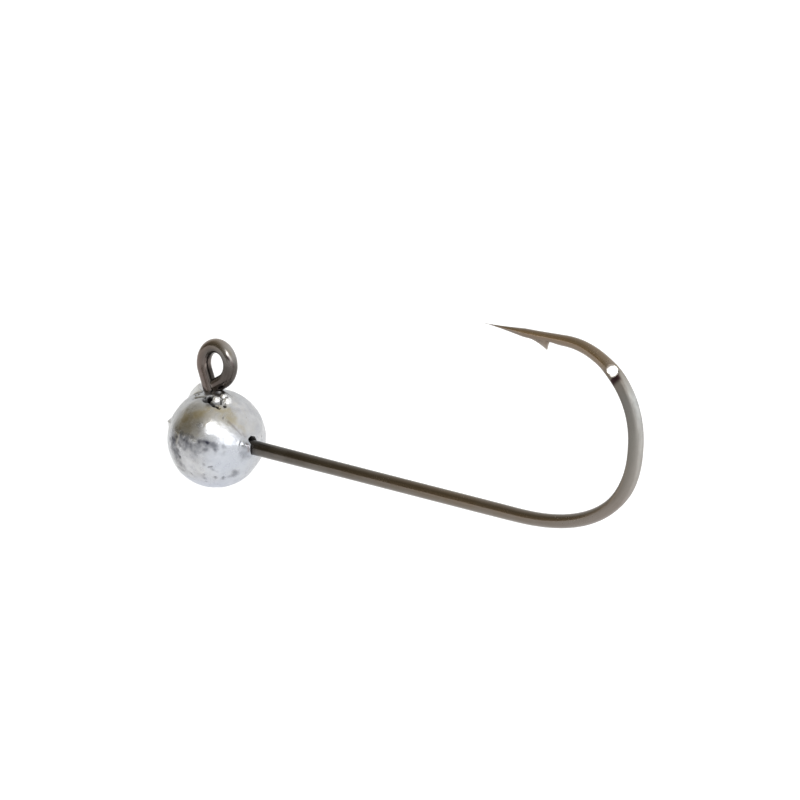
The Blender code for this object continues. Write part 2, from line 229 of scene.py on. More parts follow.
def make_hook():
    path = fair(wire_path(), 6)
    step = np.hypot(*(path[1:] - path[:-1]).T)
    s = np.r_[0.0, np.cumsum(step)]
    total = s[-1]
    d = np.gradient(path, s, axis=0)
    heading = np.arctan2(d[:, 1], d[:, 0])
    heading = np.where((heading < -0.5) & (s > 0.4 * total), heading + 2 * np.pi, heading)
    behind = (s > 0.2 * total)
    dia = np.full(len(path), WIRE_EYE)
    shank_d = WIRE_HEAD + (WIRE_SHANK - WIRE_HEAD) * smooth(4.0, 4.0 + WIRE_SETTLE, path[:, 0])
    shank_d += (WIRE_BEND - WIRE_SHANK) * smooth(SHANK_END - 3.0, SHANK_END + 4.0, path[:, 0])
    dia = np.where(behind, np.where(heading > 1.2, WIRE_BEND, shank_d), dia)
    left = total - s
    needle = NEEDLE_D * (np.clip(left, 0, None) / NEEDLE) ** NEEDLE_POWER
    thin = NEEDLE_D + (WIRE_BEND - NEEDLE_D) * np.clip((left - NEEDLE) / (TAPER - NEEDLE), 0, 1)
    dia = np.where(left < TAPER, thin, dia)
    dia = np.where(left < NEEDLE, np.maximum(needle, TIP_D), dia)
    in_bend = (path[:, 0] > SHANK_END) & (s > 0.3 * total)
    forge = np.where(in_bend, smooth(*FORGE_ON, heading) * (1 - smooth(*FORGE_OFF, heading)), 0.0)
    depth = dia * (1 + FORGE_WIDE * forge)
    width = dia * (1 - FORGE_THIN * forge)
    power = 2.0 + FORGE_SQUARE * forge

    # barb: a sliver cut up from the inner side, and the shallow scoop left behind it
    x = path[:, 0]
    on_point = (left < 14.0)
    rise = np.clip((x - (BARB_TIP - BARB_LENGTH)) / BARB_LENGTH, 0, None)
    blade = np.where((rise <= 1.0), BARB_DEEP * rise ** 1.45, BARB_DEEP * (1 - smooth(0.0, 0.13, x - BARB_TIP)))
    scoop = -0.10 * smooth(0.02, 0.16, x - BARB_TIP) * (1 - smooth(0.2, 1.7, x - BARB_TIP))
    blade = np.where(on_point & (rise > 0), blade, 0.0)
    scoop = np.where(on_point & (x > BARB_TIP), scoop, 0.0)

    ang = 2 * np.pi * (np.arange(SIDES) + 0.5) / SIDES
    cosa, sina = np.cos(ang), np.sin(ang)
    verts, along, forge_v, wear_v, cut_v, outer_v = [], [], [], [], [], []
    rings = []
    ends = []
    # rounded lip of the sheared end of the ring, then the wire itself
    for k, (grow, shift) in enumerate(((0.0, -0.02), (0.55, -0.02), (0.86, -0.012), (0.95, 0.0), (0.99, 0.035))):
        ends.append((0, grow, shift))
    stations = ends + [(i, 1.0, 0.0) for i in range(1, len(path))]
    stations += [(len(path) - 1, 0.4, 0.012)]
    for k, (i, grow, shift) in enumerate(stations):
        h = heading[i]
        t = np.array((math.cos(h), math.sin(h)))
        n = np.array((-math.sin(h), math.cos(h)))
        skew = -TAIL_SKEW * float(1 - smooth(0.0, 0.9, s[i]))
        u = np.sign(cosa) * np.abs(cosa) ** (2 / power[i]) * depth[i] / 2 * max(grow, 1e-3)
        v = np.sign(sina) * np.abs(sina) ** (2 / power[i]) * width[i] / 2 * max(grow, 1e-3)
        if blade[i] > 0 or scoop[i] < 0:
            edge = np.exp(-(np.abs(v) / 0.19) ** 2.6) * (cosa > 0)
            u = u + blade[i] * edge
            v = v * (1 - 0.55 * edge * min(blade[i] / 0.4, 1.0))
            u = u + scoop[i] * (cosa > 0) * np.exp(-(v / 0.34) ** 2)
        p = path[i] + t * shift
        px = p[0] + n[0] * u + t[0] * skew * u
        pz = p[1] + n[1] * u + t[1] * skew * u
        rings.append(len(verts))
        for j in range(SIDES):
            verts.append(((px[j] + EYE_AHEAD) * MM, v[j] * MM, (pz[j] - EYE_RISE) * MM))
        along += [s[i] / total] * SIDES
        outer_v += list(-cosa)
        forge_v += list(forge[i] * smooth(0.35, 0.9, np.abs(sina)))
        wear = 0.9 * (blade[i] > 0.2) * np.exp(-(v / 0.10) ** 2) * (cosa > 0) + float(1 - smooth(0.0, 1.6, left[i])) + 0.35 * float(1 - smooth(0.0, 0.25, s[i]))
        wear_v += list(np.clip(wear, 0, 1))
        cut_v += [1.0 if (k < 4) else 0.0] * SIDES
    # a small flat on the outside of the upper bend
    at = int(np.argmin(np.abs(heading - FACET_AT) + 10.0 * ~in_bend))
    n = np.array(from_view(-0.19, 0.253, 0.949))
    mid = np.array((path[at][0] + EYE_AHEAD, 0.0, path[at][1] - EYE_RISE))
    co = np.array(verts) / MM
    radial_side = co[:, 1] * (np.array(along) < 0.25)
    rel = co - mid
    proud = rel @ n - (dia[at] / 2 - FACET_DEEP)
    near = (np.abs(np.array(along) * total - s[at]) < 2.0) & (proud > 0)
    rel = rel - (rel @ n)[:, None] * n
    keep = 1 - smooth(FACET_R, FACET_R + 0.13, np.linalg.norm(rel, axis=1))
    flat = np.where(near, keep, 0.0)
    # a dark maroon patch just below the flat: painted shade
    behind_flat = s[at] - np.array(along) * total
    radial = (co - np.repeat(np.c_[path[[i for i, _, _ in stations], 0] + EYE_AHEAD, np.zeros(len(stations)), path[[i for i, _, _ in stations], 1] - EYE_RISE], SIDES, axis=0)) @ n
    painted_shade_below_flat = smooth(FACET_R - 0.06, FACET_R + 0.10, behind_flat) * (1 - smooth(0.82, 1.28, behind_flat)) * smooth(-0.05, 0.25, radial) * (1 - flat)
    painted_shade_below_flat *= 1 - smooth(0.72, 0.98, np.array(outer_v))
    co -= (flat * np.clip(proud, 0, None))[:, None] * n
    painted_shade_streak = np.zeros(len(co))
    px, py, front = co @ np.array(right), co @ np.array(up), radial_side < 0.0
    for x, y, long, short, lean, strength in PAINTED_SHADE_STREAKS:
        lean = math.radians(lean)
        a = (px - x) * math.cos(lean) + (py - y) * math.sin(lean)
        c = (py - y) * math.cos(lean) - (px - x) * math.sin(lean)
        painted_shade_streak = np.maximum(painted_shade_streak, strength * front * np.exp(-np.hypot(a / long, c / short) ** 3))
    verts = [tuple(c) for c in co * MM]
    faces = []
    for a, b in zip(rings, rings[1:]):
        for j in range(SIDES):
            faces.append((a + j, b + j, b + (j + 1) % SIDES, a + (j + 1) % SIDES))
    faces.append(tuple(rings[0] + j for j in range(SIDES)))
    faces.append(tuple(rings[-1] + j for j in reversed(range(SIDES))))
    ob = mesh_object("hook_wire", verts, faces)
    bm = bmesh.new()
    bm.from_mesh(ob.data)
    bmesh.ops.recalc_face_normals(bm, faces=bm.faces)
    bm.to_mesh(ob.data)
    bm.free()
    ob.data.shade_smooth()
    ob.data.set_sharp_from_angle(angle=math.radians(24))
    float_layer(ob.data, "along", along)
    float_layer(ob.data, "outer", outer_v)
    float_layer(ob.data, "flat", flat)
    float_layer(ob.data, "painted_shade_below_flat", painted_shade_below_flat)
    float_layer(ob.data, "painted_shade_streak", painted_shade_streak)
    float_layer(ob.data, "forge", forge_v)
    float_layer(ob.data, "wear", wear_v)
    float_layer(ob.data, "cut", cut_v)
    # a real-size unwrapping of the wire, in mm: round it and along it
    uv = ob.data.uv_layers.new(name="wire")
    loops = np.zeros(len(ob.data.loops), np.int32)
    ob.data.loops.foreach_get("vertex_index", loops)
    co = np.zeros((len(loops), 2), np.float32)
    co[:, 0] = (loops % SIDES) / SIDES * math.pi * WIRE_SHANK
    co[:, 1] = np.array(along, np.float32)[loops] * total
    for poly in ob.data.polygons:               # keep the seam's faces from running backwards
        ids = list(poly.loop_indices)
        if len(ids) == 4:
            us = [co[i, 0] for i in ids]
            if max(us) - min(us) > 1.5:
                for i in ids:
                    if co[i, 0] < 1.0:
                        co[i, 0] += math.pi * WIRE_SHANK
    uv.data.foreach_set("uv", co.ravel())
    marks = {"total": total}
    for name, x in (("head", 4.2), ("third", 9.6), ("late", 27.0), ("bottom", 39.5)):
        marks[name] = s[np.argmax(behind & (path[:, 0] > x))] / total
    for name, deg in (("low_right", 48), ("right", 90), ("high_right", 122), ("over", 146), ("high", 150)):
        marks[name] = s[np.argmax((path[:, 0] > SHANK_END) & (heading > math.radians(deg)) & (s > 0.4 * total))] / total
    marks["point"] = s[np.argmax((path[:, 1] > BEND_MID) & (path[:, 0] < 36.0) & (s > 0.7 * total))] / total
    return ob, marks


# ---------------------------------------------------------------- the cast ball
BALL_AROUND, BALL_ACROSS = 720, 260


def unit(v):
    v = np.array(v, float)
    return v / np.linalg.norm(v)


# (direction from the ball's centre, radius mm, depth mm)
PITS = (
    ((0.81, -0.28, -0.515), 0.27, 0.060), ((0.64, -0.41, -0.65), 0.14, 0.055), ((0.53, -0.54, -0.655), 0.18, 0.050),
    ((0.37, -0.70, -0.61), 0.15, 0.050), ((0.46, -0.82, -0.35), 0.12, 0.040), ((-0.08, -0.95, -0.295), 0.14, 0.055),
    ((0.08, -0.77, -0.64), 0.15, 0.045), ((-0.24, -0.37, 0.90), 0.20, 0.16), ((0.30, -0.55, -0.78), 0.12, 0.040),
    ((0.70, 0.30, -0.65), 0.18, 0.055), ((0.45, 0.80, -0.40), 0.15, 0.05), ((-0.60, 0.70, -0.38), 0.20, 0.05),
    ((-0.85, 0.20, -0.48), 0.16, 0.05), ((-0.30, 0.90, 0.30), 0.22, 0.045), ((0.20, 0.85, 0.48), 0.12, 0.05),
    ((-0.72, -0.30, -0.62), 0.13, 0.05), ((-0.20, -0.30, -0.93), 0.17, 0.05), ((0.15, 0.25, -0.96), 0.12, 0.05),
    ((0.92, 0.35, 0.18), 0.11, 0.04), ((-0.93, -0.30, -0.15), 0.15, 0.05),
)
# (from, to, half width mm, depth mm)
SCRATCHES = (
    ((0.52, -0.74, -0.42), (0.59, -0.70, -0.40), 0.07, 0.050),
    ((-0.34, -0.94, 0.07), (-0.10, -0.95, -0.29), 0.06, 0.040),
    ((0.458, -0.279, 0.844), (0.63, -0.51, 0.585), 0.045, 0.080),
    ((-0.25, 0.86, -0.45), (0.05, 0.80, -0.60), 0.05, 0.030),
    ((-0.80, 0.55, 0.22), (-0.70, 0.70, 0.05), 0.05, 0.030),
)
# gaps where the metal froze round the stem
GAPS = (
    (facing(-0.165, 0.795), 0.36, 0.50), (facing(-0.105, 0.830), 0.24, 0.36), (facing(0.062, 0.925), 0.26, 0.34),
    (facing(0.180, 0.640), 0.12, 0.14), ((-0.05, 0.30, 0.95), 0.22, 0.25),
)
CREASES = (
    (facing(-0.450, 0.805), facing(-0.230, 0.840), 0.10),
    (facing(-0.150, 0.745), facing(-0.055, 0.660), 0.10), (facing(-0.055, 0.660), facing(0.020, 0.630), 0.09),
    (facing(0.020, 0.630), facing(0.070, 0.600), 0.08), (facing(0.100, 0.780), facing(0.105, 0.690), 0.06),
)
BEADS = ((facing(0.015, 0.780), 0.35), (facing(0.232, 0.752), 0.39), (facing(0.160, 0.845), 0.29))
# broad unevenness of the casting: (middle, spread in degrees, height mm)
LUMPS = ((from_view(-0.50, -0.87, 0.0), 26, 0.055), (from_view(0.78, -0.62, 0.0), 17, -0.085), (from_view(-0.30, 0.80, 0.52), 20, -0.02))
BURR = ((-0.732, -0.624, 0.273), 0.46, 0.24)
STUB_N = unit((-0.76, 0.0, 0.65))
STUB_T = unit((0.65, 0.0, 0.76))
STUB_FACE, STUB_SHIFT, STUB_ALONG, STUB_ACROSS = 4.42, 1.02, 1.06, 0.42
STUB_SLOPE_SIDE, STUB_SLOPE_END = math.radians(40.0), math.radians(64.0)
# dark patches, partly tarnish, mostly painted shade and painted dark reflection: (middle, half length, half width in
# mm, degrees up from the right, strength)
TARNISH_AND_SHADE_PATCHES = (
    (facing(-0.640, -0.110), 1.10, 0.46, -6, 0.60), (facing(-0.330, -0.170), 0.90, 0.40, -8, 0.52), (facing(-0.040, -0.165), 0.60, 0.34, -10, 0.36),
    (facing(-0.410, -0.255), 1.60, 0.26, -5, 0.28), (facing(-0.050, 0.683), 0.58, 0.27, -6, 0.72), (facing(-0.330, 0.260), 0.34, 0.55, 0, 0.42),
    (facing(-0.165, -0.100), 0.80, 0.28, -16, 1.00), (facing(-0.30, -0.055), 0.32, 0.16, -10, 0.55),
    (facing(0.165, -0.165), 0.28, 0.13, -35, 0.35), (facing(-0.20, -0.235), 0.40, 0.12, -20, 0.30),
    (facing(-0.705, 0.060), 0.52, 0.34, 80, 0.78), (facing(-0.57, 0.020), 0.46, 0.32, 30, 0.68),
    (facing(-0.060, -0.635), 0.24, 0.13, -35, 0.42), (facing(0.370, -0.740), 0.42, 0.36, 10, 0.58),
    (facing(0.140, -0.820), 0.18, 0.24, 0, 0.42), (facing(-0.010, -0.800), 0.14, 0.22, 0, 0.40),
    (facing(-0.240, -0.800), 0.27, 0.13, -45, 0.32), (facing(-0.470, -0.740), 0.32, 0.14, -25, 0.28),
    (facing(-0.250, -0.540), 0.13, 0.10, 0, 0.26), (facing(-0.720, -0.390), 0.14, 0.20, 0, 0.30),
    (facing(0.560, -0.350), 0.52, 0.36, -30, 0.40), (facing(-0.50, -0.300), 1.15, 0.70, -20, 0.32), (facing(0.570, -0.200), 0.50, 0.40, 60, 0.32),
    (facing(-0.860, -0.080), 1.05, 0.60, 88, 0.92), (facing(-0.780, -0.400), 1.05, 0.66, 115, 0.56),
    (facing(-0.640, -0.640), 0.80, 0.55, 140, 0.22), (facing(-0.520, 0.180), 0.50, 0.30, 60, 0.08), (facing(-0.330, -0.748), 0.55, 0.40, -20, 0.20),
    ((0.30, 0.88, 0.30), 0.55, 0.30, 20, 0.35), ((-0.55, 0.75, -0.30), 0.70, 0.25, -30, 0.40),
    ((0.55, 0.60, -0.55), 0.40, 0.22, 10, 0.30), ((-0.80, 0.40, 0.40), 0.35, 0.20, 50, 0.30),
)
# warm patches, the same way: partly warm tarnish, partly painted warm reflection
WARM_TARNISH_AND_REFLECTION = (
    (facing(-0.100, 0.510), 2.20, 0.85, 5, 0.36), (facing(-0.330, 0.500), 0.85, 0.42, 20, 0.95), (facing(-0.620, 0.400), 0.55, 0.42, 50, 0.62),
    (facing(0.070, 0.585), 0.88, 0.34, -8, 0.92), (facing(0.340, 0.370), 0.75, 0.34, -38, 0.48),
    (facing(0.560, 0.160), 0.45, 0.25, -60, 0.35), (facing(-0.800, 0.020), 0.75, 0.36, 85, 0.60), ((0.10, 0.90, 0.30), 0.80, 0.40, 10, 0.50),
)
# shallow dents where the skin folded, painted brown-dark along them as painted shade: (from, to, half width mm,
# strength)
FOLDS = (
    (facing(0.255, 0.335), facing(0.400, 0.195), 0.10, 0.50), (facing(0.400, 0.195), facing(0.515, 0.060), 0.08, 0.45),
    (facing(0.545, 0.085), facing(0.600, 0.030), 0.16, 0.35), (facing(0.580, -0.100), facing(0.585, -0.235), 0.075, 0.75),
)


def warp(fraction, bumps):
    """Turns an even 0 to 1 spacing into one that is closer where the bumps (middle, half width, gain) say, in degrees."""
    deg = np.linspace(0, 360, 7201)
    gain = np.ones_like(deg)
    for mid, half, extra in bumps:
        off = np.abs((deg - mid + 180) % 360 - 180)
        gain += extra * (1 - smooth(half * 0.8, half * 1.3, off))
    total = np.r_[0.0, np.cumsum(0.5 * (gain[1:] + gain[:-1]))]
    return np.interp(fraction * total[-1], total, deg)


def make_ball():
    t = np.linspace(-1, 1, BALL_ACROSS + 1)[1:-1]
    lat = np.sign(t) * (0.68 * np.abs(t) + 0.32 * np.abs(t) ** 3) * math.pi / 2
    lon = np.radians(warp(np.arange(BALL_AROUND) / BALL_AROUND, ((112, 55, 1.8), (0, 17, 1.4))))
    la, lo = np.meshgrid(lat, lon, indexing="ij")
    dirs = np.stack((np.cos(la) * np.cos(lo), np.sin(la), np.cos(la) * np.sin(lo)), -1).reshape(-1, 3)
    dirs = np.vstack((dirs, [(0, -1, 0), (0, 1, 0)]))
    pts = dirs * BALL_R
    y = pts[:, 1]

    def away(d):
        return BALL_R * np.arccos(np.clip(dirs @ unit(d), -1, 1))

    swell = 0.015 * fractal(pts, 0.55, 2, 3.1) + 0.011 * fractal(pts, 1.25, 2, 7.7) + 0.0030 * fractal(pts, 3.2, 1, 1.9)
    r = BALL_R - 0.012 + swell
    for d, spread, high in LUMPS:
        r += high * np.exp(-(np.degrees(away(d) / BALL_R) / spread) ** 2)
    # painted shade: pits, scratches, gaps, creases and the openings round the wire are darkened through this mask in
    # the material
    cavity_shade = np.zeros(len(pts))
    edge = fractal(pts, 2.0, 2, 17.0)

    # parting ridge in the hook's plane, uneven, the two mould halves not quite in line
    uneven = 0.6 + 0.5 * fractal(pts, 0.8, 2, 12.0)
    r += 0.030 * np.clip(uneven, 0.1, 1.0) * np.exp(-(y / 0.055) ** 2) + 0.006 * np.tanh(y / 0.05)

    # pits
    for d, rad, deep in PITS:
        a = away(d) * (1 + 0.25 * edge)
        bowl = np.exp(-(a / rad) ** 2.6)
        r -= deep * bowl - 0.20 * deep * np.exp(-((a - 1.35 * rad) / (0.35 * rad)) ** 2)
        cavity_shade += bowl * min(deep / 0.06, 1.0) * 0.30
    for p, q, half, deep in SCRATCHES:
        p, q = unit(p) * BALL_R, unit(q) * BALL_R
        ab = q - p
        k = np.clip(((pts - p) @ ab) / (ab @ ab), 0, 1)
        line = np.exp(-(np.linalg.norm(pts - (p + k[:, None] * ab), axis=1) / half) ** 2)
        r -= deep * line
        cavity_shade += 0.6 * line

    # tarnish with painted shade and painted dark reflection, and painted shade along the folds
    def marked(spots):
        out = np.zeros(len(pts))
        for d, long, short, lean, strength in spots:
            d = unit(d)
            a = unit(np.array(right) - d * (d @ np.array(right)))
            c = np.cross(d, a)
            lean = math.radians(lean)
            a, c = a * math.cos(lean) + c * math.sin(lean), c * math.cos(lean) - a * math.sin(lean)
            q = np.hypot(dirs @ a * BALL_R / long, dirs @ c * BALL_R / short) * (1 + 0.45 * edge)
            out = 1 - (1 - out) * (1 - np.where(dirs @ d > 0.3, np.exp(-q ** 2.6), 0.0) * strength)
        return out

    tarnish_and_shade = marked(TARNISH_AND_SHADE_PATCHES)
    warm = marked(WARM_TARNISH_AND_REFLECTION)
    fold_shade = np.zeros(len(pts))
    for p, q, half, strength in FOLDS:
        p, q = unit(p) * BALL_R, unit(q) * BALL_R
        ab = q - p
        k = np.clip(((pts - p) @ ab) / (ab @ ab), 0, 1)
        line = np.exp(-(np.linalg.norm(pts - (p + k[:, None] * ab), axis=1) / half / (1 + 0.4 * edge)) ** 2)
        fold_shade = np.maximum(fold_shade, strength * line)
        r -= 0.020 * strength * line

    # sprue stub: a clipped face with sloping walls, cut as planes
    here = (dirs @ STUB_N > 0.3) & (np.hypot((dirs @ STUB_T * BALL_R - STUB_SHIFT) / 1.75, y / 1.30) < 1)
    stub = np.where(here, STUB_FACE / np.maximum(dirs @ STUB_N, 0.3), 9.9)
    for k in range(24):
        a = 2 * math.pi * k / 24
        e = STUB_T * math.cos(a) + np.array((0.0, math.sin(a), 0.0))
        reach = ((STUB_ALONG * abs(math.cos(a))) ** 2.4 + (STUB_ACROSS * abs(math.sin(a))) ** 2.4) ** (1 / 2.4)
        slope = STUB_SLOPE_SIDE + (STUB_SLOPE_END - STUB_SLOPE_SIDE) * math.cos(a) ** 2
        n = e * math.sin(slope) + STUB_N * math.cos(slope)
        d = (STUB_T * STUB_SHIFT + e * reach + STUB_N * STUB_FACE) @ n
        stub = np.where(dirs @ n > 0.05, np.minimum(stub, d / np.maximum(dirs @ n, 0.05)), stub)
    stub = np.where(here, stub + 0.010 * fractal(pts, 4.0, 2, 9.0), 0.0)
    # it stands clear of the stem
    stem_d = np.array((-math.sin(STEM_LEAN), 0.0, math.cos(STEM_LEAN)))
    stem_p = np.array((-EYE_AHEAD - EYE_R * math.cos(STEM_LEAN), 0.0, -BALL[2] - EYE_R * math.sin(STEM_LEAN)))
    rel = dirs * stub[:, None] - stem_p
    ro = np.linalg.norm(rel - (rel @ stem_d)[:, None] * stem_d, axis=1)
    stub -= 0.85 * here * (1 - smooth(0.70, 0.92, ro))
    top = smooth(0.0, 0.05, stub - r)
    foot = np.exp(-((stub - r + 0.03) / 0.035) ** 2) * here
    r = np.maximum(r, stub)
    r -= 0.030 * foot
    cavity_shade += 0.45 * foot * (y < 0.2)

    # burr of flash
    d, rad, high = BURR
    burr = np.clip(1 - away(d) / rad, 0, 1)
    r += high * burr ** 1.3

    # gaps and beads round the stem
    for d, rad, deep in GAPS:
        hole = np.exp(-(away(d) / rad) ** 4)
        r -= deep * hole
        cavity_shade += 0.92 * np.exp(-(away(d) * (1 + 0.25 * edge) / (1.28 * rad)) ** 5)
    bead_and_burr_highlight = np.zeros(len(pts))
    for d, rad in BEADS:
        a = away(d)
        dome = np.where(a < rad, BALL_R - 0.10 + np.sqrt(np.clip(rad * rad - a * a, 0, None)) * 1.05, 0.0)
        bead_and_burr_highlight = np.maximum(bead_and_burr_highlight, np.where(dome > BALL_R - 0.05, 1.0, 0.0))
        r = np.maximum(r, dome)
    cavity_shade *= 1 - bead_and_burr_highlight
    bead_and_burr_highlight = np.maximum(bead_and_burr_highlight, 0.65 * smooth(0.0, 0.4, burr))
    for p, q, half in CREASES:
        p, q = unit(p) * BALL_R, unit(q) * BALL_R
        ab = q - p
        k = np.clip(((pts - p) @ ab) / (ab @ ab), 0, 1)
        line = np.exp(-(np.linalg.norm(pts - (p + k[:, None] * ab), axis=1) / half) ** 3)
        r -= 0.14 * line * (1 - bead_and_burr_highlight)
        cavity_shade += 0.80 * line * (1 - bead_and_burr_highlight)

    # where the wire leaves: behind along the shank, above along the stem
    sy, sz = y, pts[:, 2] + (EYE_RISE + BALL[2])
    back_side = pts[:, 0] > 2.5
    ro = np.hypot(sy, sz)
    near = np.clip(0.5 - 0.5 * sy / np.maximum(ro, 0.05), 0, 1) ** 1.2
    collar = np.where(back_side, smooth(0.50, 0.60, ro) * (1 - smooth(0.68, 1.30, ro)), 0.0)
    r += 0.60 * collar * near * (1 - smooth(0.25, 0.75, sz))
    ring2 = np.where(back_side, np.exp(-((ro - 1.40) / 0.12) ** 2) * near, 0.0)
    r += 0.022 * ring2
    void = np.where(back_side, np.exp(-(np.hypot((sy - 0.06) / 1.15, sz - 0.43) * (1 + 0.22 * edge) / 0.39) ** 5), 0.0)
    r -= 0.75 * void
    cavity_shade += 1.3 * void

    rel = pts - stem_p
    ro = np.linalg.norm(rel - (rel @ stem_d)[:, None] * stem_d, axis=1)
    upper = pts[:, 2] > 2.0
    gap = np.where(upper, 1 - smooth(0.60, 0.70, ro), 0.0)
    r -= 0.60 * gap
    cavity_shade += 1.2 * gap

    co = (dirs * r[:, None] + np.array(BALL)) * MM
    faces = []
    rows = BALL_ACROSS - 1
    for i in range(rows - 1):
        for j in range(BALL_AROUND):
            k = (j + 1) % BALL_AROUND
            faces.append((i * BALL_AROUND + j, i * BALL_AROUND + k, (i + 1) * BALL_AROUND + k, (i + 1) * BALL_AROUND + j))
    low, high = rows * BALL_AROUND, rows * BALL_AROUND + 1
    for j in range(BALL_AROUND):
        k = (j + 1) % BALL_AROUND
        faces.append((j, low, k))
        faces.append(((rows - 1) * BALL_AROUND + j, (rows - 1) * BALL_AROUND + k, high))
    ob = mesh_object("cast_ball", co, faces)
    bm = bmesh.new()
    bm.from_mesh(ob.data)
    bmesh.ops.recalc_face_normals(bm, faces=bm.faces)
    bm.to_mesh(ob.data)
    bm.free()
    ob.data.shade_smooth()
    float_layer(ob.data, "cavity_shade", np.clip(cavity_shade, 0, 1))
    float_layer(ob.data, "clipped", np.clip(top, 0, 1))
    float_layer(ob.data, "tarnish_and_shade", np.clip(tarnish_and_shade, 0, 1))
    float_layer(ob.data, "fold_shade", np.clip(fold_shade, 0, 1))
    float_layer(ob.data, "warm", np.clip(warm, 0, 1))
    float_layer(ob.data, "bead_and_burr_highlight", bead_and_burr_highlight)
    float_layer(ob.data, "cool_reflection_tint", np.exp(-(np.degrees(away(from_view(0.30, -0.48, 0.825)) / BALL_R) / 36.0) ** 3))
    float_layer(ob.data, "underside_reflection_tint", smooth(0.55, 0.98, -dirs[:, 2]))
    return ob


# ---------------------------------------------------------------- materials
class Nodes:
    """Small helper for building node trees."""

    def __init__(self, name):
        self.mat = bpy.data.materials.new(name)
        self.mat.use_nodes = True
        self.tree = self.mat.node_tree
        self.shader = self.tree.nodes["Principled BSDF"]

    def new(self, kind, inputs=None, **props):
        n = self.tree.nodes.new(kind)
        for k, v in props.items():
            setattr(n, k, v)
        for k, v in (inputs or {}).items():
            self.put(n, k, v)
        return n

    def put(self, node, key, value):
        sock = node.inputs[key]
        if isinstance(value, bpy.types.NodeSocket):
            self.tree.links.new(value, sock)
        else:
            sock.default_value = value

    def math(self, op, a, b=0.0, c=None, clamp=False):
        n = self.tree.nodes.new("ShaderNodeMath")
        n.operation = op
        n.use_clamp = clamp
        self.put(n, 0, a)
        self.put(n, 1, b)
        if c is not None:
            self.put(n, 2, c)
        return n.outputs[0]

    def ramp(self, value, stops, interp="LINEAR"):
        n = self.tree.nodes.new("ShaderNodeValToRGB")
        n.color_ramp.interpolation = interp
        e = n.color_ramp.elements
        e[0].position, e[0].color = stops[0][0], stops[0][1]
        e[1].position, e[1].color = stops[-1][0], stops[-1][1]
        for pos, col in stops[1:-1]:
            x = e.new(pos)
            x.color = col
        self.put(n, 0, value)
        return n.outputs[0]

    def mix(self, factor, a, b):
        n = self.tree.nodes.new("ShaderNodeMix")
        n.data_type = "RGBA"
        self.put(n, 0, factor)
        self.put(n, 6, a)
        self.put(n, 7, b)
        return n.outputs[2]

    def noise(self, vector, scale, detail=3.0, rough=0.55, distortion=0.0):
        n = self.new("ShaderNodeTexNoise", {"Vector": vector, "Scale": scale, "Detail": detail, "Roughness": rough, "Distortion": distortion})
        return n.outputs["Fac"]

    def attribute(self, name):
        n = self.new("ShaderNodeAttribute", attribute_name=name)
        return n.outputs["Fac"]

    def object_mm(self):
        tc = self.new("ShaderNodeTexCoord")
        m = self.new("ShaderNodeVectorMath", operation="SCALE")
        self.put(m, 0, tc.outputs["Object"])
        m.inputs["Scale"].default_value = 1000.0
        return m.outputs[0]


def grey(v, w=1.0):
    return (v, v, v, w)


